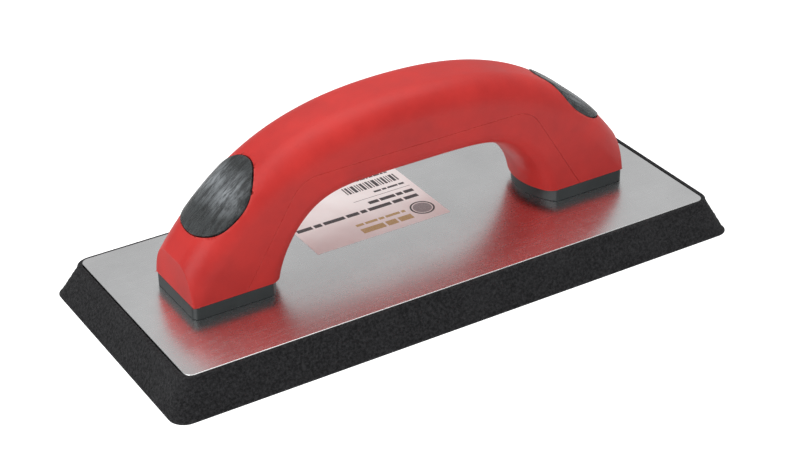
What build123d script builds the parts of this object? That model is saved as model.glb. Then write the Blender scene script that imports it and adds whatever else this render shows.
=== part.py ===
from build123d import *
import os

os.makedirs("parts", exist_ok=True)

# Rubber grout float: a cellular rubber pad bonded to an aluminium plate under a red bridge handle.
# Millimetres. The origin is the middle of the pad's underside, +X runs along the float, +Z is up.

# rubber pad
pad_length = 230.0
pad_width = 100.0
pad_height = 13.0
pad_corner = 6.0
rim_length = 217.7           # outline of the pad at its upper rim
rim_width = 87.7
rim_corner = 4.0
rim_round = 0.6

# backing plate and the film that holds it
plate_length = 213.6
plate_width = 85.6
plate_thickness = 1.5
plate_corner = 3.0
plate_proud = 0.2            # plate top above the rubber rim
plate_edge_round = 0.3
film_thickness = 0.2
film_margin = 1.0
recess_gap = 0.15

# handle, seen from the side
foot_outer_x = 90.0
foot_height = 4.8            # black base under each leg
half_width = 15.0
ridge_height = 73.2          # above the ground, at mid length
ridge_knots = [(32.8, 69.9), (50.7, 63.9), (66.9, 55.0), (80.0, 43.0), (96.0, 22.0)]
arch_height = 48.2           # underside of the grip at mid length
arch_knots = [(28.0, 47.2), (44.4, 41.3), (53.8, 28.0), (58.0, 12.0)]
curve_steps = 8
ridge_round = 10.0           # rounds along the ridge
arch_round = 6.0             # rounds along the underside
crown = 5.0                  # how far the underside and the inner faces of the legs bulge across
crown_stations = (-1.2, -0.6, 0, 0.6, 1.2)   # where the bulge is drawn, in half widths
end_round = 0.8              # round along the edges of the two flat ends
wall = 3.0

# joint between the two red mouldings
seam_foot_x = 70.0
seam_top_x = 47.0
seam_top_z = 54.8
seam_corner = 12.0
lip_height = 2.0
lip_thickness = 1.2
lip_gap = 0.1

# foot bases
base_inner_x = 59.8          # corners under the finger gap
base_flare_bottom = 6.2      # how far the rounded inner end stands out between them
base_flare_top = 5.2
base_outer_corner = 2.5
base_inner_corner = 1.5

# thumb inserts, drawn on a plane that lies on the slope of the ridge
insert_centre = (73.5, 49.0)
insert_slope = 45.0
insert_outline = [(-18.0, 0), (-15.4, 6.8), (-8.0, 11.8), (2.0, 12.7), (9.6, 10.6), (13.2, 5.0), (13.9, 0)]
insert_depth = 1.5
insert_proud = 0.4
insert_gap = 0.4
insert_reach = 12.0
stud_radius = 3.0
stud_length = 3.0

# foot screws, two to a leg
screw_radius = 2.0
screw_length = 16.0
screw_point = 2.5
tip_radius = 0.3
head_radius = 3.8
head_height = 2.2
head_round = 1.0
slot_width = 0.9
pocket_gap = 0.4
boss_radius = 4.2
boss_top = 32.0
boss_places = (62.5, 81.0)
rib_thickness = 2.4

# size label
label_length = 56.0
label_width = 41.0
label_thickness = 0.1
label_centre = (-5.6, 20.8)

plate_top = pad_height + plate_proud
plate_bottom = plate_top - plate_thickness
film_bottom = plate_bottom - film_thickness
foot_top = plate_top + foot_height
screw_tip = plate_bottom + screw_length
screw_places = [(side * x, 0) for side in (-1, 1) for x in boss_places]
seam_lean = (seam_foot_x - seam_top_x) / (seam_top_z - foot_top)
below_sole = 10.0            # handle shapes are drawn down to here, then cut off at the sole
rib_reach = boss_places[0] - arch_knots[-2][0] + crown


def mirrored(points):
    """Points given for the +X half, joined with their mirror images, from -X to +X."""
    left = [(-x, z) for x, z in reversed(points) if x > 0]
    return left + points


def moved_points(knots, inset):
    """Points of a smooth curve through the knots, moved to its right-hand side by the inset."""
    guide = Spline(*knots, mode=Mode.PRIVATE)
    steps = [step / curve_steps for step in range(curve_steps + 1)]
    return [guide @ step + inset * (guide % step).rotate(Axis.Z, -90) for step in steps]


def arch_room(inset):
    """The room under the arch, narrowed half way between the sides by the crown, grown by the inset."""
    with BuildPart() as room:
        for station in crown_stations:
            moved = crown * (1 - station ** 2) - inset
            with BuildSketch(Plane.XZ.offset(station * half_width)):
                with BuildLine():
                    arch = Spline(*moved_points(mirrored([(0, arch_height)] + arch_knots), moved))
                    Polyline(arch @ 0, ((arch @ 0).X, 0), ((arch @ 1).X, 0), arch @ 1)
                make_face()
        loft()
    return room.part


def handle_form(inset):
    """The handle as one solid above its sole, with every face moved in by the inset."""
    with BuildPart() as form:
        with BuildSketch(Plane.XZ.offset(inset - half_width)):
            with BuildLine():
                ridge = Spline(*moved_points(mirrored([(0, ridge_height)] + ridge_knots), inset))
                Polyline(ridge @ 0, ((ridge @ 0).X, below_sole), ((ridge @ 1).X, below_sole), ridge @ 1)
            make_face()
        extrude(amount=2 * (half_width - inset))
        fillet(form.edges().filter_by(GeomType.BSPLINE), ridge_round - inset)
        add(arch_room(inset), mode=Mode.SUBTRACT)
        fillet(form.edges().sort_by_distance((0, 0, arch_height))[:2], arch_round - inset)
        with Locations((0, 0, below_sole)):
            Box(2 * (foot_outer_x - inset), pad_width, pad_width,
                align=(Align.CENTER, Align.CENTER, Align.MIN), mode=Mode.INTERSECT)
        for end in (0, -1):
            fillet(form.faces().sort_by(Axis.X)[end].edges(), end_round)
        with Locations((0, 0, foot_top)):
            Box(pad_length, pad_width, pad_width,
                align=(Align.CENTER, Align.CENTER, Align.MIN), mode=Mode.INTERSECT)
    return form.part


def under_seam(rise, width):
    """Everything below the joint between the red mouldings, with the joint raised by the rise."""
    foot_x = seam_foot_x + seam_lean * (foot_top - below_sole) + rise
    top_z = seam_top_z + rise
    top_x = seam_top_x + rise - seam_lean * rise
    with BuildPart() as region:
        with BuildSketch(Plane.XZ.offset(-width / 2)) as outline:
            Polygon(
                (-foot_x, below_sole), (-top_x, top_z), (top_x, top_z), (foot_x, below_sole), align=None
            )
            fillet(outline.vertices().group_by(Axis.Y)[-1], seam_corner + rise)
        extrude(amount=width)
    return region.part


def insert_prism(side, gap):
    """A leaf-shaped column standing on the slope at one end of the handle."""
    tilt = Vector(side, 0, 0).rotate(Axis.Y, side * insert_slope)
    facing = Vector(0, 0, 1).rotate(Axis.Y, side * insert_slope)
    place = Plane(origin=(side * insert_centre[0], 0, insert_centre[1]), x_dir=tilt, z_dir=facing)
    near = [Vector(x, y) + gap * Vector(x, y).normalized() for x, y in insert_outline]
    far = [Vector(point.X, -point.Y) for point in reversed(near[1:-1])]
    with BuildPart() as column:
        with BuildSketch(place):
            with BuildLine():
                Spline(*near, *far, periodic=True)
            make_face()
        extrude(amount=insert_reach, both=True)
    return column.part


def insert_stud(side, radius):
    """The round plug behind a thumb insert."""
    facing = Vector(0, 0, 1).rotate(Axis.Y, side * insert_slope)
    place = Plane(origin=(side * insert_centre[0], 0, insert_centre[1]), z_dir=facing)
    with BuildPart() as stud:
        with BuildSketch(place):
            Circle(radius)
        extrude(amount=-stud_length)
    return stud.part


def boss(side, place, top):
    """A column over one foot screw."""
    with BuildPart() as column:
        with BuildSketch(Plane.XY.offset(foot_top)):
            with Locations((side * place, 0)):
                Circle(boss_radius)
        extrude(amount=top - foot_top)
    return column.part


def pilot_hole(side, place):
    """Room for the thread of one foot screw."""
    with BuildPart() as hole:
        with BuildSketch(Plane.XY.offset(foot_top)):
            with Locations((side * place, 0)):
                Circle(screw_radius)
        extrude(amount=screw_tip - foot_top + screw_radius)
    return hole.part


def base_outline(side, height, flare):
    """The footprint of a leg at one height, square outside and rounded towards the finger gap."""
    inner_x = side * base_inner_x
    outer_x = side * foot_outer_x
    with BuildSketch(Plane.XY.offset(height)) as outline:
        with BuildLine():
            Polyline((inner_x, half_width), (outer_x, half_width),
                     (outer_x, -half_width), (inner_x, -half_width))
            ThreePointArc((inner_x, -half_width), (inner_x - side * flare, 0), (inner_x, half_width))
        make_face()
        fillet(outline.vertices().sort_by(Axis.X, reverse=side < 0)[-2:], base_outer_corner)
        fillet(outline.vertices().sort_by(Axis.X, reverse=side < 0)[:2], base_inner_corner)
    return outline.sketch


def hollow(place, top, reach):
    """The room inside the handle, less the bosses and ribs that stand in it over the foot screws."""
    with BuildPart() as room:
        add(cavity)
        for side in (-1, 1):
            with BuildPart(mode=Mode.PRIVATE) as brace:
                add(boss(side, place, top))
                with Locations((side * (place + reach / 2), 0, foot_top)):
                    Box(abs(reach), rib_thickness, boss_top - foot_top,
                        align=(Align.CENTER, Align.CENTER, Align.MIN))
            add(brace.part, mode=Mode.SUBTRACT)
            add(pilot_hole(side, place))
    return room.part


# rubber pad: four sloping sides, a shallow seat for the plate and four pockets for screw heads
with BuildPart() as rubber_pad:
    with BuildSketch():
        RectangleRounded(pad_length, pad_width, pad_corner)
    with BuildSketch(Plane.XY.offset(pad_height)):
        RectangleRounded(rim_length, rim_width, rim_corner)
    loft(ruled=True)
    fillet(rubber_pad.faces().sort_by(Axis.Z)[-1].edges(), rim_round)
    with BuildSketch(Plane.XY.offset(film_bottom)):
        RectangleRounded(plate_length + 2 * recess_gap, plate_width + 2 * recess_gap, plate_corner)
    extrude(amount=pad_height, mode=Mode.SUBTRACT)
    with BuildSketch(Plane.XY.offset(plate_bottom - head_height - pocket_gap)):
        with Locations(*screw_places):
            Circle(head_radius + pocket_gap)
    extrude(amount=pad_height, mode=Mode.SUBTRACT)
rubber_pad.part.label = "rubber_pad"
export_step(rubber_pad.part, "parts/rubber_pad.step")

# adhesive film between the rubber and the plate
with BuildPart() as pad_adhesive:
    with BuildSketch(Plane.XY.offset(film_bottom)):
        RectangleRounded(plate_length - 2 * film_margin, plate_width - 2 * film_margin, plate_corner)
        with Locations(*screw_places):
            Circle(head_radius + pocket_gap, mode=Mode.SUBTRACT)
    extrude(amount=film_thickness)
pad_adhesive.part.label = "pad_adhesive"
export_step(pad_adhesive.part, "parts/pad_adhesive.step")

# aluminium backing plate with a hole for each foot screw
with BuildPart() as backing_plate:
    with BuildSketch(Plane.XY.offset(plate_bottom)):
        RectangleRounded(plate_length, plate_width, plate_corner)
        with Locations(*screw_places):
            Circle(screw_radius, mode=Mode.SUBTRACT)
    extrude(amount=plate_thickness)
    fillet(backing_plate.faces().sort_by(Axis.Z)[-1].outer_wire().edges(), plate_edge_round)
backing_plate.part.label = "backing_plate"
export_step(backing_plate.part, "parts/backing_plate.step")

# black foot bases, flared where they face the finger gap
for name, side in (("left_foot_base", -1), ("right_foot_base", 1)):
    with BuildPart() as foot_base:
        loft([
            base_outline(side, plate_top, base_flare_bottom).face(),
            base_outline(side, foot_top, base_flare_top).face(),
        ], ruled=True)
        with BuildSketch(Plane.XY.offset(plate_top)):
            with Locations(*[place for place in screw_places if place[0] * side > 0]):
                Circle(screw_radius)
        extrude(amount=foot_height, mode=Mode.SUBTRACT)
    foot_base.part.label = name
    export_step(foot_base.part, f"parts/{name}.step")

outside = handle_form(0)
cavity = handle_form(wall)
insert_skin = handle_form(-insert_proud)
insert_floor = handle_form(insert_depth)

# lower red moulding: the underside of the grip and the inner face of each leg
with BuildPart() as grip_underside:
    with BuildPart(mode=Mode.PRIVATE) as lower_region:
        add(under_seam(0, pad_width))
        add(under_seam(lip_height, 2 * (half_width - wall + lip_thickness)))
    add(outside)
    add(lower_region.part, mode=Mode.INTERSECT)
    add(hollow(boss_places[0], boss_top, -rib_reach), mode=Mode.SUBTRACT)
grip_underside.part.label = "grip_underside"
export_step(grip_underside.part, "parts/grip_underside.step")

# upper red moulding: the ridge, both sides and the outer face of each leg
with BuildPart() as grip_shell:
    with BuildPart(mode=Mode.PRIVATE) as lower_room:
        add(under_seam(0, pad_width))
        add(under_seam(lip_height + lip_gap, 2 * (half_width - wall + lip_thickness + lip_gap)))
    add(outside)
    add(hollow(boss_places[1], insert_centre[1], foot_outer_x - boss_places[1]), mode=Mode.SUBTRACT)
    add(lower_room.part, mode=Mode.SUBTRACT)
    for side in (-1, 1):
        with BuildPart(mode=Mode.PRIVATE) as recess:
            add(insert_prism(side, insert_gap))
            add(insert_floor, mode=Mode.SUBTRACT)
        add(recess.part, mode=Mode.SUBTRACT)
        add(insert_stud(side, stud_radius + insert_gap), mode=Mode.SUBTRACT)
grip_shell.part.label = "grip_shell"
export_step(grip_shell.part, "parts/grip_shell.step")

# black thumb inserts set into the ridge at both ends, each held by a round plug
for name, side in (("left_thumb_insert", -1), ("right_thumb_insert", 1)):
    with BuildPart() as thumb_insert:
        add(insert_skin)
        add(insert_prism(side, 0), mode=Mode.INTERSECT)
        add(insert_floor, mode=Mode.SUBTRACT)
        add(insert_stud(side, stud_radius))
    thumb_insert.part.label = name
    export_step(thumb_insert.part, f"parts/{name}.step")

# self-tapping screws driven up through the plate and the foot bases
with BuildPart() as foot_screws:
    with Locations(*[(x, y, plate_bottom) for x, y in screw_places]):
        Cylinder(head_radius, head_height, align=(Align.CENTER, Align.CENTER, Align.MAX))
    with Locations(*[(x, y, plate_bottom) for x, y in screw_places]):
        Cylinder(screw_radius, screw_length - screw_point, align=(Align.CENTER, Align.CENTER, Align.MIN))
    with Locations(*[(x, y, screw_tip - screw_point) for x, y in screw_places]):
        Cone(screw_radius, tip_radius, screw_point, align=(Align.CENTER, Align.CENTER, Align.MIN))
    fillet(foot_screws.edges().group_by(Axis.Z)[0], head_round)
    with Locations(*[(x, y, plate_bottom - head_height) for x, y in screw_places]):
        Box(2 * screw_radius, slot_width, head_height, mode=Mode.SUBTRACT)
        Box(slot_width, 2 * screw_radius, head_height, mode=Mode.SUBTRACT)
foot_screws.part.label = "foot_screws"
export_step(foot_screws.part, "parts/foot_screws.step")

# paper size label stuck on the plate
with BuildPart() as size_label:
    with BuildSketch(Plane.XY.offset(plate_top)):
        with Locations(label_centre):
            Rectangle(label_length, label_width)
    extrude(amount=label_thickness)
size_label.part.label = "size_label"
export_step(size_label.part, "parts/size_label.step")
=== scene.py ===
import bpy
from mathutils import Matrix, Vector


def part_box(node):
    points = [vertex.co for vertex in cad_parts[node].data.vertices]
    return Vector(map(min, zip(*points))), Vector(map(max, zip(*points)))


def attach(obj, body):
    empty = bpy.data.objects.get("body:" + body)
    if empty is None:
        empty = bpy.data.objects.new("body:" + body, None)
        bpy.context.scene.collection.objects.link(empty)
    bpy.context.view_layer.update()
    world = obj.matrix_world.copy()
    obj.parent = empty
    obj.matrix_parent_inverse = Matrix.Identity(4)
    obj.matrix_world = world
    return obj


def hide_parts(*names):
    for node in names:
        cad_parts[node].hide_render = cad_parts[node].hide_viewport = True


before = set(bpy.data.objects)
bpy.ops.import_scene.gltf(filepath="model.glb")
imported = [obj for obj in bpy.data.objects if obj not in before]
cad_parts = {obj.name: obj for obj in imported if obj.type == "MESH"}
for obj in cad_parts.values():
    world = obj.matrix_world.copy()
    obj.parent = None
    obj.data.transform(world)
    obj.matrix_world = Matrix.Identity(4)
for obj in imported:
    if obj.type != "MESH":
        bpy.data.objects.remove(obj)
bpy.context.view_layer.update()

from math import cos, pi, radians, sin

import bpy
from mathutils import Matrix, Vector

print("frame loaded:", len(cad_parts), "nodes")

mm = 0.001


def boxOf(node):
    low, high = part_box(node)
    return Vector(low), Vector(high)


def deselectAll():
    if bpy.context.mode != "OBJECT":
        bpy.ops.object.mode_set(mode="OBJECT")
    for thing in bpy.context.selected_objects:
        thing.select_set(False)


def makeActive(thing):
    deselectAll()
    thing.select_set(True)
    bpy.context.view_layer.objects.active = thing


def settle(thing):  # puts the object's place into its mesh
    makeActive(thing)
    bpy.ops.object.transform_apply(location=True, rotation=True, scale=True)


def applyAll(thing):
    makeActive(thing)
    for modifier in list(thing.modifiers):
        bpy.ops.object.modifier_apply(modifier=modifier.name)


def newGroup(name, inputs, outputs):  # a node group of plain numbers
    group = bpy.data.node_groups.new(name, "ShaderNodeTree")
    for label, value in inputs.items():
        socket = group.interface.new_socket(label, in_out="INPUT", socket_type="NodeSocketFloat")
        socket.default_value = value
    for label in outputs:
        group.interface.new_socket(label, in_out="OUTPUT", socket_type="NodeSocketFloat")
    return group, group.nodes.new("NodeGroupInput"), group.nodes.new("NodeGroupOutput")


def newMaterial(name, **sockets):
    material = bpy.data.materials.new(name)
    material.use_nodes = True
    tree = material.node_tree
    shader = tree.nodes["Principled BSDF"]
    for socket, value in sockets.items():
        shader.inputs[socket].default_value = value
    return material, tree, shader


def joinNodes(tree, source, output, target, inputName):
    tree.links.new(source.outputs[output], target.inputs[inputName])


def addNode(tree, kind, **values):
    node = tree.nodes.new(kind)
    for key, value in values.items():
        setattr(node, key, value)
    return node


def groupNode(tree, group, values):
    node = addNode(tree, "ShaderNodeGroup", node_tree=group)
    for socket, value in values.items():
        node.inputs[socket].default_value = value
    return node


def noiseNode(tree, scale, detail=4, roughness=0.55):
    node = addNode(tree, "ShaderNodeTexNoise")
    node.inputs["Scale"].default_value = scale
    node.inputs["Detail"].default_value = detail
    node.inputs["Roughness"].default_value = roughness
    return node


def stretchNode(tree, scale):
    node = addNode(tree, "ShaderNodeMapping")
    node.inputs["Scale"].default_value = scale
    return node


def onObject(tree, *nodes):  # patterns that stay fixed to the piece
    place = addNode(tree, "ShaderNodeTexCoord")
    for node in nodes:
        joinNodes(tree, place, "Object", node, "Vector")


def sumNode(tree, operation, first, firstOutput, second, secondOutput):
    node = addNode(tree, "ShaderNodeMath", operation=operation)
    joinNodes(tree, first, firstOutput, node, 0)
    joinNodes(tree, second, secondOutput, node, 1)
    return node


def rampBetween(tree, source, output, low, high, start=0.3, stop=0.7):
    ramp = addNode(tree, "ShaderNodeValToRGB")
    for element, place, colour in zip(ramp.color_ramp.elements, (start, stop), (low, high)):
        element.position = place
        element.color = (*colour, 1)
    joinNodes(tree, source, output, ramp, "Fac")
    return ramp


def rangeBetween(tree, source, output, low, high, start=0.3, stop=0.7):
    node = addNode(tree, "ShaderNodeMapRange")
    node.inputs["From Min"].default_value = start
    node.inputs["From Max"].default_value = stop
    node.inputs["To Min"].default_value = low
    node.inputs["To Max"].default_value = high
    joinNodes(tree, source, output, node, "Value")
    return node


def mixColour(tree, mask, maskOutput, first, firstOutput, colour):
    mix = addNode(tree, "ShaderNodeMix", data_type="RGBA")
    joinNodes(tree, mask, maskOutput, mix, "Factor")
    joinNodes(tree, first, firstOutput, mix, 6)
    mix.inputs[7].default_value = (*colour, 1)
    return mix


def roughFrom(tree, shader, source, output, limits, start=0.3, stop=0.7):
    joinNodes(tree, rangeBetween(tree, source, output, *limits, start, stop), "Result", shader, "Roughness")


def bumpFrom(tree, shader, source, output, distance):
    bump = addNode(tree, "ShaderNodeBump")
    bump.inputs["Distance"].default_value = distance
    bump.inputs["Strength"].default_value = 1
    joinNodes(tree, source, output, bump, "Height")
    joinNodes(tree, bump, "Normal", shader, "Normal")


def makeMouldGrain():  # the fine skin of a plastic moulding: a tight grain with faint waves under it
    sizes = {"Grain Scale": 2500, "Wave Scale": 90, "Wave Share": 0.5}
    tree, start, end = newGroup("mouldGrain", sizes, ("Height", "Patches"))
    grain = noiseNode(tree, sizes["Grain Scale"], 3)
    wave = noiseNode(tree, sizes["Wave Scale"], 2)
    patch = noiseNode(tree, 45, 5, 0.6)
    onObject(tree, grain, wave, patch)
    mix = addNode(tree, "ShaderNodeMix", data_type="FLOAT")
    joinNodes(tree, start, "Grain Scale", grain, "Scale")
    joinNodes(tree, start, "Wave Scale", wave, "Scale")
    joinNodes(tree, start, "Wave Share", mix, "Factor")
    joinNodes(tree, grain, "Fac", mix, 2)
    joinNodes(tree, wave, "Fac", mix, 3)
    joinNodes(tree, mix, 0, end, "Height")
    joinNodes(tree, patch, "Fac", end, "Patches")
    return tree


def makeEdgeWearAndSheen():  # a mask of corners and ridges: rubbed by hands and benches on the mouldings and rubber, and a painted highlight along the plate's edges
    tree, start, end = newGroup("edgeWearAndSheen", {"Amount": 0.5, "Width": 0.0012}, ("Mask",))
    soft = addNode(tree, "ShaderNodeBevel", samples=4)
    plain = addNode(tree, "ShaderNodeNewGeometry")
    facing = addNode(tree, "ShaderNodeVectorMath", operation="DOT_PRODUCT")
    breakUp = noiseNode(tree, 400, 5, 0.7)
    onObject(tree, breakUp)
    joinNodes(tree, start, "Width", soft, "Radius")
    joinNodes(tree, soft, "Normal", facing, 0)
    joinNodes(tree, plain, "Normal", facing, 1)
    turn = rangeBetween(tree, facing, "Value", 0, 1, 0.995, 0.9)
    contrast = rangeBetween(tree, breakUp, "Fac", 0, 1, 0.42, 0.6)
    broken = sumNode(tree, "MULTIPLY", turn, "Result", contrast, "Result")
    scaled = sumNode(tree, "MULTIPLY", broken, 0, start, "Amount")
    joinNodes(tree, scaled, 0, end, "Mask")
    return tree


mouldGrain = makeMouldGrain()
edgeWearAndSheen = makeEdgeWearAndSheen()

redFinish = {
    "low": (0.50, 0.012, 0.010),
    "high": (0.68, 0.026, 0.020),
    "spread": (0.25, 0.7),
    "rubbed": (0.80, 0.14, 0.11),
    "rough": (0.40, 0.55),
    "grain": {"Grain Scale": 2200, "Wave Scale": 70, "Wave Share": 0.5},
    "rubAndSheen": {"Amount": 0.3, "Width": 0.9 * mm},
    "bump": 0.08 * mm,
    "sockets": {"IOR": 1.49},
}
baseFinish = {
    "low": (0.018, 0.022, 0.023),
    "high": (0.042, 0.050, 0.052),
    "spread": (0.3, 0.7),
    "rubbed": (0.11, 0.125, 0.13),
    "rough": (0.26, 0.42),
    "grain": {"Grain Scale": 2000, "Wave Scale": 120, "Wave Share": 0.3},
    "rubAndSheen": {"Amount": 0.6, "Width": 0.5 * mm},
    "bump": 0.06 * mm,
    "sockets": {},
}


def makePlastic(name, finish):
    material, tree, shader = newMaterial(name, **finish["sockets"])
    grain = groupNode(tree, mouldGrain, finish["grain"])
    rubAndSheen = groupNode(tree, edgeWearAndSheen, finish["rubAndSheen"])
    colour = rampBetween(tree, grain, "Patches", finish["low"], finish["high"], *finish["spread"])
    wornAndSheened = mixColour(tree, rubAndSheen, "Mask", colour, "Color", finish["rubbed"])
    joinNodes(tree, wornAndSheened, 2, shader, "Base Color")
    roughFrom(tree, shader, grain, "Patches", finish["rough"])
    bumpFrom(tree, shader, grain, "Height", finish["bump"])
    return material


thumbFinish = {
    "dark": (0.004, 0.006, 0.007),
    "pale": (0.060, 0.070, 0.073),
    # colour of the painted highlight
    "paintedHighlight": (0.42, 0.45, 0.48),
    "rubbed": (0.10, 0.11, 0.115),
    "rough": (0.20, 0.38),
    "rubAndSheen": {"Amount": 0.4, "Width": 0.7 * mm},
    "bump": 0.6 * mm,
    "streakScale": 170,
    "streakStretch": (1, 4, 0.6),
    "highlightPlace": (0.45, 0.6),   # where the painted highlight sits: shares of the insert's box, along and up
    "highlightSide": 5 * mm,
    "highlightNear": 1 * mm,
    "highlightFar": 10 * mm,
    "highlightShare": 0.75,
}


def makeThumbRubber():  # short streaks across the slope, and a pale patch on each insert's upper side that is a painted highlight
    material, tree, shader = newMaterial("blackThumbRubber")
    stretch = stretchNode(tree, thumbFinish["streakStretch"])
    streaks = noiseNode(tree, thumbFinish["streakScale"], 7, 0.7)
    mirrored = addNode(tree, "ShaderNodeVectorMath", operation="ABSOLUTE")
    onObject(tree, stretch, mirrored)
    joinNodes(tree, stretch, "Vector", streaks, "Vector")
    # painted highlight: a pale patch that fades with distance from a point on the insert, broken up by the
    # streaks
    low, high = boxOf("right_thumb_insert")
    along, up = thumbFinish["highlightPlace"]
    reach = addNode(tree, "ShaderNodeVectorMath", operation="DISTANCE")
    reach.inputs[1].default_value = (
        low.x + along * (high.x - low.x),
        thumbFinish["highlightSide"],
        low.z + up * (high.z - low.z),
    )
    joinNodes(tree, mirrored, "Vector", reach, 0)
    near, far = thumbFinish["highlightNear"], thumbFinish["highlightFar"]
    patch = rangeBetween(tree, reach, "Value", thumbFinish["highlightShare"], 0, near, far)
    glint = rangeBetween(tree, streaks, "Fac", 0.15, 1.2, 0.42, 0.66)
    highlightMask = sumNode(tree, "MULTIPLY", patch, "Result", glint, "Result")
    rubAndSheen = groupNode(tree, edgeWearAndSheen, thumbFinish["rubAndSheen"])
    colour = rampBetween(tree, streaks, "Fac", thumbFinish["dark"], thumbFinish["pale"], 0.38, 0.75)
    # the painted highlight goes into the colour here
    paintedHighlight = mixColour(tree, highlightMask, "Value", colour, "Color", thumbFinish["paintedHighlight"])
    wornAndSheened = mixColour(tree, rubAndSheen, "Mask", paintedHighlight, 2, thumbFinish["rubbed"])
    joinNodes(tree, wornAndSheened, 2, shader, "Base Color")
    roughFrom(tree, shader, streaks, "Fac", thumbFinish["rough"], 0.35, 0.7)
    bumpFrom(tree, shader, streaks, "Fac", thumbFinish["bump"])
    return material


padFinish = {
    "cell": (0.004, 0.004, 0.005),
    "skin": (0.034, 0.034, 0.037),
    "dust": (0.055, 0.055, 0.058),
    "dustCover": 0.25,
    "rubbed": (0.10, 0.10, 0.105),
    "rough": (0.95, 0.66),
    "rubAndSheen": {"Amount": 0.25, "Width": 0.8 * mm},
    "bump": 0.5 * mm,
    "cellScale": 1400,
    "crumbScale": 1000,
    "cellShare": 0.6,
    "sockets": {"Specular IOR Level": 0.35},
}


def makePadRubber():
    material, tree, shader = newMaterial("cellularRubber", **padFinish["sockets"])
    cells = addNode(tree, "ShaderNodeTexVoronoi")
    cells.inputs["Scale"].default_value = padFinish["cellScale"]
    crumbs = noiseNode(tree, padFinish["crumbScale"], 6, 0.75)
    dust = noiseNode(tree, 35, 5, 0.6)
    onObject(tree, cells, crumbs, dust)
    colour = rampBetween(tree, crumbs, "Fac", padFinish["cell"], padFinish["skin"], 0.42, 0.68)
    dusty = rangeBetween(tree, dust, "Fac", 0, padFinish["dustCover"], 0.5, 0.8)
    mixed = mixColour(tree, dusty, "Result", colour, "Color", padFinish["dust"])
    rubAndSheen = groupNode(tree, edgeWearAndSheen, padFinish["rubAndSheen"])
    wornAndSheened = mixColour(tree, rubAndSheen, "Mask", mixed, 2, padFinish["rubbed"])
    joinNodes(tree, wornAndSheened, 2, shader, "Base Color")
    roughFrom(tree, shader, crumbs, "Fac", padFinish["rough"], 0.3, 0.75)
    height = addNode(tree, "ShaderNodeMath", operation="MULTIPLY_ADD")
    height.inputs[1].default_value = padFinish["cellShare"]
    joinNodes(tree, cells, "Distance", height, 0)
    joinNodes(tree, crumbs, "Fac", height, 2)
    bumpFrom(tree, shader, height, 0, padFinish["bump"])
    return material


plateFinish = {
    "dull": (0.70, 0.705, 0.71),
    "bright": (0.80, 0.805, 0.81),
    # edge: colour of the painted highlight along the plate's edges
    "edge": (0.92, 0.92, 0.93),
    "rough": (0.23, 0.28),
    "scuffed": (-0.01, 0.03),    # added to the roughness
    "rubAndSheen": {"Amount": 0.7, "Width": 0.5 * mm},
    "bump": 0.001 * mm,
    "rollScale": 2400,
    "rollStretch": (0.02, 1, 1),
}


def makePlateAluminium():  # rolled sheet: fine lines along its length, faint clouds, scuffs, and a painted highlight along its edges
    material, tree, shader = newMaterial("satinAluminium", Metallic=1)
    stretch = stretchNode(tree, plateFinish["rollStretch"])
    rolled = noiseNode(tree, plateFinish["rollScale"], 4, 0.7)
    clouds = noiseNode(tree, 28, 5, 0.6)
    scuffs = noiseNode(tree, 300, 6, 0.75)
    onObject(tree, stretch, clouds, scuffs)
    joinNodes(tree, stretch, "Vector", rolled, "Vector")
    rubAndSheen = groupNode(tree, edgeWearAndSheen, plateFinish["rubAndSheen"])
    colour = rampBetween(tree, clouds, "Fac", plateFinish["dull"], plateFinish["bright"])
    # painted highlight: the edge mask lightens the colour of the plate's edges
    wornAndSheened = mixColour(tree, rubAndSheen, "Mask", colour, "Color", plateFinish["edge"])
    joinNodes(tree, wornAndSheened, 2, shader, "Base Color")
    fine = rangeBetween(tree, rolled, "Fac", *plateFinish["rough"])
    patchy = rangeBetween(tree, scuffs, "Fac", *plateFinish["scuffed"], 0.4, 0.7)
    rough = sumNode(tree, "ADD", fine, "Result", patchy, "Result")
    joinNodes(tree, rough, 0, shader, "Roughness")
    bumpFrom(tree, shader, rolled, "Fac", plateFinish["bump"])
    return material


paperFinish = {
    "stained": (0.86, 0.79, 0.78),
    "clean": (0.93, 0.90, 0.89),
    "rough": (0.45, 0.6),
    "bump": 0.02 * mm,
}


def makePaper():
    material, tree, shader = newMaterial("labelPaper")
    fibres = noiseNode(tree, 900, 6, 0.7)
    stains = noiseNode(tree, 60, 4, 0.5)
    onObject(tree, fibres, stains)
    colour = rampBetween(tree, stains, "Fac", paperFinish["stained"], paperFinish["clean"], 0.35, 0.65)
    joinNodes(tree, colour, "Color", shader, "Base Color")
    roughFrom(tree, shader, fibres, "Fac", paperFinish["rough"], 0, 1)
    bumpFrom(tree, shader, fibres, "Fac", paperFinish["bump"])
    return material


inkFinish = {"scale": 2500, "rough": (0.35, 0.55)}


def makeInk(name, thin, full):  # print that covers the paper unevenly
    material, tree, shader = newMaterial(name)
    cover = noiseNode(tree, inkFinish["scale"], 5, 0.7)
    onObject(tree, cover)
    colour = rampBetween(tree, cover, "Fac", full, thin, 0.45, 0.75)
    joinNodes(tree, colour, "Color", shader, "Base Color")
    roughFrom(tree, shader, cover, "Fac", inkFinish["rough"], 0, 1)
    return material


screwFinish = {
    "dull": (0.45, 0.44, 0.40),
    "bright": (0.68, 0.67, 0.62),
    "rough": (0.25, 0.5),
    "scale": 600,
    "bump": 0,
    "sockets": {"Metallic": 1},
}
glueFinish = {
    "dull": (0.06, 0.05, 0.035),
    "bright": (0.16, 0.13, 0.08),
    "rough": (0.3, 0.6),
    "scale": 200,
    "bump": 0.1 * mm,
    "sockets": {},
}


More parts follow.
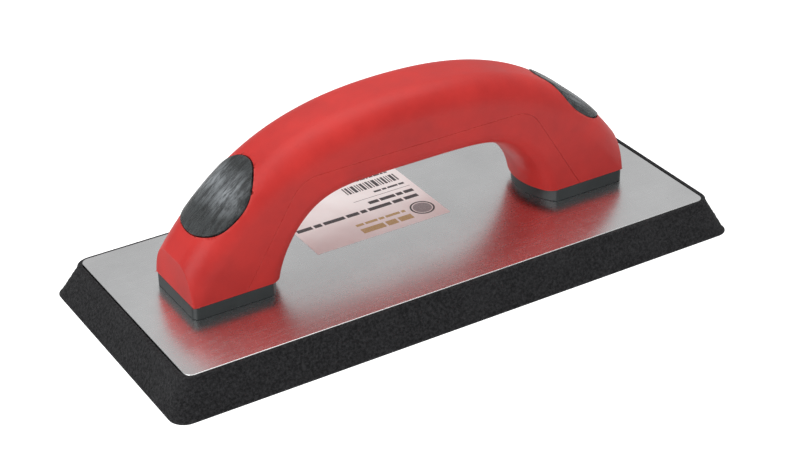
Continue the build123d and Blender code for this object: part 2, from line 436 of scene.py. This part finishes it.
def makeBlotched(name, finish):
    material, tree, shader = newMaterial(name, **finish["sockets"])
    blotch = noiseNode(tree, finish["scale"], 5, 0.6)
    onObject(tree, blotch)
    colour = rampBetween(tree, blotch, "Fac", finish["dull"], finish["bright"])
    joinNodes(tree, colour, "Color", shader, "Base Color")
    roughFrom(tree, shader, blotch, "Fac", finish["rough"])
    if finish["bump"]:
        bumpFrom(tree, shader, blotch, "Fac", finish["bump"])
    return material


redPlastic = makePlastic("redPolypropylene", redFinish)
blackPlastic = makePlastic("blackBasePlastic", baseFinish)
thumbRubber = makeThumbRubber()
padRubber = makePadRubber()
plateAluminium = makePlateAluminium()
paper = makePaper()
darkInk = makeInk("darkInk", (0.16, 0.13, 0.13), (0.03, 0.025, 0.03))
greyInk = makeInk("greyInk", (0.50, 0.46, 0.46), (0.25, 0.22, 0.23))
ochreInk = makeInk("ochreInk", (0.70, 0.55, 0.34), (0.50, 0.33, 0.12))
screwSteel = makeBlotched("zincScrew", screwFinish)
glue = makeBlotched("padGlue", glueFinish)
print("materials made")


def dress(thing, *materials):
    thing.data.materials.clear()
    for material in materials:
        thing.data.materials.append(material)


cadFinishes = {
    "rubber_pad": padRubber,
    "pad_adhesive": glue,
    "backing_plate": plateAluminium,
    "left_foot_base": blackPlastic,
    "right_foot_base": blackPlastic,
    "grip_underside": redPlastic,
    "grip_shell": redPlastic,
    "left_thumb_insert": thumbRubber,
    "right_thumb_insert": thumbRubber,
    "foot_screws": screwSteel,
    "size_label": paper,
}
for node, material in cadFinishes.items():
    dress(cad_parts[node], material)
print("finishes on the frame")


def finishPiece(piece, name, node, material, angle=35):
    piece.name = name
    dress(piece, material)
    settle(piece)
    bpy.ops.object.shade_smooth_by_angle(angle=radians(angle))
    even = piece.modifiers.new("even", "WEIGHTED_NORMAL")  # stops slim triangles creasing the shine
    even.keep_sharp = True
    applyAll(piece)
    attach(piece, "root")
    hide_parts(node)
    return piece


def pickEdges(piece, wanted):  # in edit mode, leaves only the wanted edges selected
    bpy.ops.mesh.select_mode(type="EDGE")
    bpy.ops.mesh.select_all(action="DESELECT")
    bpy.ops.object.mode_set(mode="OBJECT")
    points = piece.data.vertices
    for edge in piece.data.edges:
        edge.select = wanted(*[points[index].co for index in edge.vertices])
    bpy.ops.object.mode_set(mode="EDIT")


padShape = {
    "corner": 6 * mm,
    "cornerSteps": 12,
    "cellPitch": 0.55 * mm,
    "rimRound": 0.6 * mm,
    "rimRoundSteps": 3,
    "rimInset": 6.15 * mm,     # from the edge of the sole to the edge of the rim
    "endLedge": 1.75 * mm,     # flat of the rim at the ends
    "sideLedge": 0.9 * mm,     # and along the sides
    "flankFrom": 0.2 * mm,     # the pitted part of the sides starts this high
    "poreSize": 0.9 * mm,
    "poreDepth": 0.34 * mm,
    "sagSize": 18 * mm,
    "sagDepth": 0.25 * mm,
}


def raisePad(ring, height, across, along):  # one more ring above this one, at this height and outline
    bpy.ops.mesh.extrude_region_move(TRANSFORM_OT_translate={"value": (0, 0, height - ring["height"])})
    grow = (along / ring["along"], across / ring["across"], 1)
    bpy.ops.transform.resize(value=grow, center_override=(0, 0, height))
    return {"height": height, "across": across, "along": along}


def makePad():
    low, high = boxOf("rubber_pad")
    seat = boxOf("pad_adhesive")[0].z
    length, width, height = high - low
    deselectAll()
    bpy.ops.mesh.primitive_plane_add(size=1, location=(0, 0, 0))
    pad = bpy.context.object
    pad.scale = (length, width, 1)
    settle(pad)
    bpy.ops.object.mode_set(mode="EDIT")
    bpy.ops.mesh.select_all(action="SELECT")
    bpy.ops.mesh.bevel(offset=padShape["corner"], segments=padShape["cornerSteps"], affect="VERTICES")
    for reach, axis in ((length, 0), (width, 1)):
        run = reach - 2 * padShape["corner"]
        pickEdges(pad, lambda a, b: abs(a[axis] - b[axis]) > 0.9 * run)
        bpy.ops.mesh.subdivide(number_cuts=round(run / padShape["cellPitch"]) - 1)
    bpy.ops.mesh.select_mode(type="FACE")
    bpy.ops.mesh.select_all(action="SELECT")
    rimRound = padShape["rimRound"]
    slopeTop = height - rimRound
    slopeInset = padShape["rimInset"] * slopeTop / height
    ring = {"height": 0, "across": width, "along": length}
    ringCount = round(height / padShape["cellPitch"])
    for count in range(1, ringCount + 1):
        share = count / ringCount
        inset = 2 * slopeInset * share
        ring = raisePad(ring, slopeTop * share, width - inset, length - inset)
    for step in range(1, padShape["rimRoundSteps"] + 1):
        angle = step / padShape["rimRoundSteps"] * pi / 2
        inset = 2 * (slopeInset + rimRound * (1 - cos(angle)))
        ring = raisePad(ring, slopeTop + rimRound * sin(angle), width - inset, length - inset)
    across = ring["across"] - 2 * (padShape["sideLedge"] - rimRound)
    along = ring["along"] - 2 * (padShape["endLedge"] - rimRound)
    ring = raisePad(ring, height, across, along)
    raisePad(ring, seat, across, along)
    bpy.ops.mesh.select_all(action="SELECT")
    bpy.ops.mesh.normals_make_consistent(inside=False)
    bpy.ops.object.mode_set(mode="OBJECT")
    flank = pad.vertex_groups.new(name="flank")
    pitted = [point.index for point in pad.data.vertices if padShape["flankFrom"] < point.co.z < slopeTop]
    flank.add(pitted, 1, "REPLACE")
    for name, kind, size, depth in (
        ("padPores", "STUCCI", padShape["poreSize"], padShape["poreDepth"]),
        ("padSag", "CLOUDS", padShape["sagSize"], padShape["sagDepth"]),
    ):
        texture = bpy.data.textures.new(name, kind)
        texture.noise_scale = size
        push = pad.modifiers.new(name, "DISPLACE")
        push.texture = texture
        push.texture_coords = "LOCAL"
        push.strength = depth
        push.mid_level = 1
        push.vertex_group = flank.name
    applyAll(pad)
    return finishPiece(pad, "rubberPad", "rubber_pad", padRubber)


makePad()
print("pad shaped")


def mergedCopy(node):  # a loose copy of a frame part with its triangles joined up, left in edit mode
    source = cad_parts[node]
    copy = bpy.data.objects.new(node + "Copy", source.data.copy())
    bpy.context.scene.collection.objects.link(copy)
    makeActive(copy)
    bpy.ops.object.mode_set(mode="EDIT")
    bpy.ops.mesh.select_all(action="SELECT")
    bpy.ops.mesh.remove_doubles(threshold=0.001 * mm)
    return copy


def pickFaces(piece, wanted):  # in edit mode, leaves only the wanted faces selected
    bpy.ops.mesh.select_mode(type="FACE")
    bpy.ops.mesh.select_all(action="DESELECT")
    bpy.ops.object.mode_set(mode="OBJECT")
    for face in piece.data.polygons:
        face.select = wanted(face.center, face.normal)
    bpy.ops.object.mode_set(mode="EDIT")


def joinFlats(piece, wanted):  # the triangles of each flat face become one face
    pickFaces(piece, wanted)
    bpy.ops.mesh.dissolve_limited(angle_limit=radians(0.5))


def pickSharp(piece, wanted, sharpness=30):  # leaves the sharp edges that pass the test selected
    bpy.ops.mesh.select_mode(type="EDGE")
    bpy.ops.mesh.select_all(action="DESELECT")
    bpy.ops.mesh.edges_select_sharp(sharpness=radians(sharpness))
    bpy.ops.object.mode_set(mode="OBJECT")
    sharp = {edge.index for edge in piece.data.edges if edge.select}
    bpy.ops.object.mode_set(mode="EDIT")
    bpy.ops.mesh.select_all(action="DESELECT")
    bpy.ops.object.mode_set(mode="OBJECT")
    points = piece.data.vertices
    for edge in piece.data.edges:
        edge.select = edge.index in sharp and wanted(*[points[index].co for index in edge.vertices])
    bpy.ops.object.mode_set(mode="EDIT")


slack = 0.05 * mm  # closer than this counts as on a level

baseEdge = {
    "rim": 0.4 * mm,
    "foot": 0.3 * mm,
    "segments": 2,
    "boreSide": 3 * mm,  # edges nearer the middle line than this belong to the screw holes
}


def makeFootBase(node, name):
    low, high = boxOf(node)
    base = mergedCopy(node)
    joinFlats(base, lambda place, normal: abs(normal.z) > 0.99 or abs(normal.y) > 0.99)

    def onLevel(a, b, level):
        outside = max(abs(a.y), abs(b.y)) > baseEdge["boreSide"]
        return outside and max(abs(a.z - level), abs(b.z - level)) < slack

    for level, size in ((high.z, baseEdge["rim"]), (low.z, baseEdge["foot"])):
        pickSharp(base, lambda a, b: onLevel(a, b, level))
        bpy.ops.mesh.bevel(offset=size, segments=baseEdge["segments"], affect="EDGES")
    bpy.ops.object.mode_set(mode="OBJECT")
    return finishPiece(base, name, node, blackPlastic)


makeFootBase("left_foot_base", "leftFootBase")
makeFootBase("right_foot_base", "rightFootBase")
print("foot bases eased")

insertEdge = {"round": 0.4 * mm, "segments": 3, "shortest": 0.02 * mm}


def makeThumbInsert(node, name):
    insert = mergedCopy(node)
    pickSharp(insert, lambda a, b: (a - b).length > insertEdge["shortest"], 50)
    size, segments = insertEdge["round"], insertEdge["segments"]
    bpy.ops.mesh.bevel(offset=size, segments=segments, affect="EDGES", clamp_overlap=True)
    bpy.ops.object.mode_set(mode="OBJECT")
    return finishPiece(insert, name, node, thumbRubber)


makeThumbInsert("left_thumb_insert", "leftThumbInsert")
makeThumbInsert("right_thumb_insert", "rightThumbInsert")
print("thumb inserts eased")

mouldEdge = {"size": 0.2 * mm, "segments": 2, "endDepth": 1 * mm, "flatSlack": 0.02 * mm}


def makeMoulding(node, name):  # eases the outer edges at the seam, the sole and the insert recesses
    low, high = boxOf("grip_shell")
    moulding = mergedCopy(node)
    flatSide = high.y - mouldEdge["flatSlack"]
    joinFlats(moulding, lambda place, normal: abs(normal.y) > 0.999 and abs(place.y) > flatSide)

    def onFlank(a, b):
        return min(abs(a.y), abs(b.y)) > high.y - slack

    def onEndSole(a, b):
        atEnd = min(abs(a.x), abs(b.x)) > high.x - mouldEdge["endDepth"]
        return atEnd and max(a.z, b.z) < low.z + slack

    pickSharp(moulding, lambda a, b: onFlank(a, b) or onEndSole(a, b), 40)
    size, segments = mouldEdge["size"], mouldEdge["segments"]
    bpy.ops.mesh.bevel(offset=size, segments=segments, affect="EDGES", clamp_overlap=False)
    bpy.ops.object.mode_set(mode="OBJECT")
    return finishPiece(moulding, name, node, redPlastic, 30)


makeMoulding("grip_shell", "gripShell")
makeMoulding("grip_underside", "gripUnderside")
print("handle mouldings eased")

labelPrint = {"paperThick": 0.06 * mm, "inkThick": 0.02 * mm, "inkSunk": 0.005 * mm}


def thicken(sheet, thick):  # a flat outline becomes a thin slab
    settle(sheet)
    bpy.ops.object.mode_set(mode="EDIT")
    bpy.ops.mesh.select_all(action="SELECT")
    bpy.ops.mesh.extrude_region_move(TRANSFORM_OT_translate={"value": (0, 0, thick)})
    bpy.ops.mesh.select_all(action="SELECT")
    bpy.ops.mesh.normals_make_consistent(inside=False)
    bpy.ops.object.mode_set(mode="OBJECT")


def addSheet(material, x, y, width, height, bottom, thick):  # its near left corner is at x, y
    deselectAll()
    bpy.ops.mesh.primitive_plane_add(size=1, location=(x + width / 2, y + height / 2, bottom))
    sheet = bpy.context.object
    sheet.scale = (width, height, 1)
    thicken(sheet, thick)
    dress(sheet, material)
    return sheet


def joinUp(first, others):
    makeActive(first)
    for other in others:
        other.select_set(True)
    bpy.ops.object.join()
    return bpy.context.object


def markRow(ink, x, y, height, widths, gap, bottom):  # a row of plain dashes of these widths
    marks = []
    for width in widths:
        marks.append(addSheet(ink, x, y, width * mm, height, bottom, labelPrint["inkThick"]))
        x += (width + gap) * mm
    return marks


inks = {"dark": darkInk, "grey": greyInk, "ochre": ochreInk}
barWidths = (0.5, 0.9, 0.4, 1.3, 0.5, 0.5, 1.1, 0.4, 0.9, 0.5, 1.4, 0.4, 0.7, 1.0, 0.5, 0.4, 1.2, 0.6)
rows = [  # ink, left end, near edge, height, widths and gap of the dashes, in millimetres on the label
    ("ochre", 21.5, 3.6, 3.2, (9.5, 4.4, 5.6), 0.9),
    ("ochre", 21.5, 9.0, 1.5, (3.2, 5.1, 2.2, 6.0, 1.6), 0.7),
    ("dark", 1.2, 16.4, 2.1, (6.2, 3.1, 8.8, 5.2, 2.4, 9.6, 4.1, 5.8), 0.9),
    ("dark", 34.0, 20.7, 2.0, (4.2, 6.4, 2.6, 4.0), 0.7),
    ("grey", 29.5, 25.0, 0.3, (24.5,), 0),
    ("dark", 40.0, 27.4, 1.2, (3.1, 1.8, 4.4, 2.3), 0.5),
    ("dark", 38.5, 38.2, 0.8, (1.2, 2.2, 0.9, 1.7, 2.6, 1.1, 1.4), 0.4),
    ("dark", 30.5, 31.0, 5.2, barWidths, 0.55),
]
roundel = {  # in millimetres on the label
    "centre": (49.0, 8.3),
    "discs": [("dark", 4.7, 1.0), ("paper", 4.0, 1.3), ("grey", 3.58, 1.5)],  # ink, radius, thickness in inks
    "sides": 40,
}


def addRoundel(x, y, bottom):  # a dark ring round a plain grey disc
    discs = []
    for ink, radius, share in roundel["discs"]:
        deselectAll()
        bpy.ops.mesh.primitive_circle_add(
            vertices=roundel["sides"], radius=radius * mm, fill_type="NGON", location=(x, y, bottom)
        )
        disc = bpy.context.object
        thicken(disc, labelPrint["inkThick"] * share)
        dress(disc, inks.get(ink, paper))
        discs.append(disc)
    return discs


def makeLabel():
    low, high = boxOf("size_label")
    sheet = addSheet(paper, low.x, low.y, high.x - low.x, high.y - low.y, low.z, labelPrint["paperThick"])
    bottom = low.z + labelPrint["paperThick"] - labelPrint["inkSunk"]
    marks = []
    for ink, left, front, height, widths, gap in rows:
        marks += markRow(inks[ink], low.x + left * mm, low.y + front * mm, height * mm, widths, gap, bottom)
    x, y = roundel["centre"]
    marks += addRoundel(low.x + x * mm, low.y + y * mm, bottom)
    label = joinUp(sheet, marks)
    label.name = "sizeLabel"
    settle(label)
    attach(label, "root")
    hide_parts("size_label")


makeLabel()
print("label printed")

studio = {
    "floorSize": 6,
    "floorColour": (0.93, 0.93, 0.93, 1),
    "floorRough": 0.9,
    "floorGlow": 0.55,      # only the camera sees the glow
    "airColour": (1, 1, 1, 1),
    "airSeen": 1,           # what the camera sees behind the float
    "airStrength": 0.5,     # what lights it
    "lights": [  # name, place, aim, width, height, watts
        ("topBox", (0.1, 0.2, 1.1), (0, 0, 0), 1.1, 0.9, 5.5),
        ("leftBox", (-0.95, -0.3, 0.75), (0, 0, 0.03), 0.9, 0.9, 5.6),
        ("backBox", (0.65, 0.95, 0.75), (0, 0, 0.01), 1.6, 0.8, 0.25),
    ],
}


def makeFloor():
    deselectAll()
    bpy.ops.mesh.primitive_plane_add(size=studio["floorSize"], location=(0, 0, 0))
    floor = bpy.context.object
    floor.name = "floor"
    material, tree, shader = newMaterial("paleFloor", Roughness=studio["floorRough"])
    shader.inputs["Base Color"].default_value = studio["floorColour"]
    shader.inputs["Emission Color"].default_value = (1, 1, 1, 1)
    seen = addNode(tree, "ShaderNodeLightPath")
    glow = addNode(tree, "ShaderNodeMath", operation="MULTIPLY")
    glow.inputs[1].default_value = studio["floorGlow"]
    joinNodes(tree, seen, "Is Camera Ray", glow, 0)
    joinNodes(tree, glow, 0, shader, "Emission Strength")
    dress(floor, material)


def makeWorld():
    world = bpy.data.worlds.new("studioAir")
    world.use_nodes = True
    tree = world.node_tree
    background = tree.nodes["Background"]
    background.inputs["Color"].default_value = studio["airColour"]
    seen = addNode(tree, "ShaderNodeLightPath")
    share = rangeBetween(tree, seen, "Is Camera Ray", studio["airStrength"], studio["airSeen"], 0, 1)
    joinNodes(tree, share, "Result", background, "Strength")
    bpy.context.scene.world = world


def addSoftbox(name, place, aim, width, height, power):
    light = bpy.data.lights.new(name, "AREA")
    light.shape = "RECTANGLE"
    light.size = width
    light.size_y = height
    light.energy = power
    box = bpy.data.objects.new(name, light)
    bpy.context.scene.collection.objects.link(box)
    box.location = place
    box.rotation_euler = (Vector(aim) - Vector(place)).to_track_quat("-Z", "Y").to_euler()


cameraView = {
    "azimuth": -31.219,
    "elevation": 30.743,
    "roll": -0.854,
    "offset": (0.208 * mm, 10.068 * mm),
    "distance": 724.443 * mm,
    "lens": 88.954,
    "sensor": 36,
    "nearest": 10 * mm,
}


def makeCamera():
    camera = bpy.data.cameras.new("camera")
    camera.lens = cameraView["lens"]
    camera.sensor_width = cameraView["sensor"]
    camera.clip_start = cameraView["nearest"]
    eye = bpy.data.objects.new("camera", camera)
    bpy.context.scene.collection.objects.link(eye)
    turn = (
        Matrix.Rotation(radians(cameraView["azimuth"]), 3, "Z")
        @ Matrix.Rotation(radians(90 - cameraView["elevation"]), 3, "X")
        @ Matrix.Rotation(radians(cameraView["roll"]), 3, "Z")
    )
    across, up = cameraView["offset"]
    eye.matrix_world = Matrix.Translation(turn @ Vector((across, up, cameraView["distance"]))) @ turn.to_4x4()
    bpy.context.scene.camera = eye


makeFloor()
makeWorld()
for light in studio["lights"]:
    addSoftbox(*light)
makeCamera()
bpy.context.scene.view_settings.view_transform = "Standard"
print("studio ready")
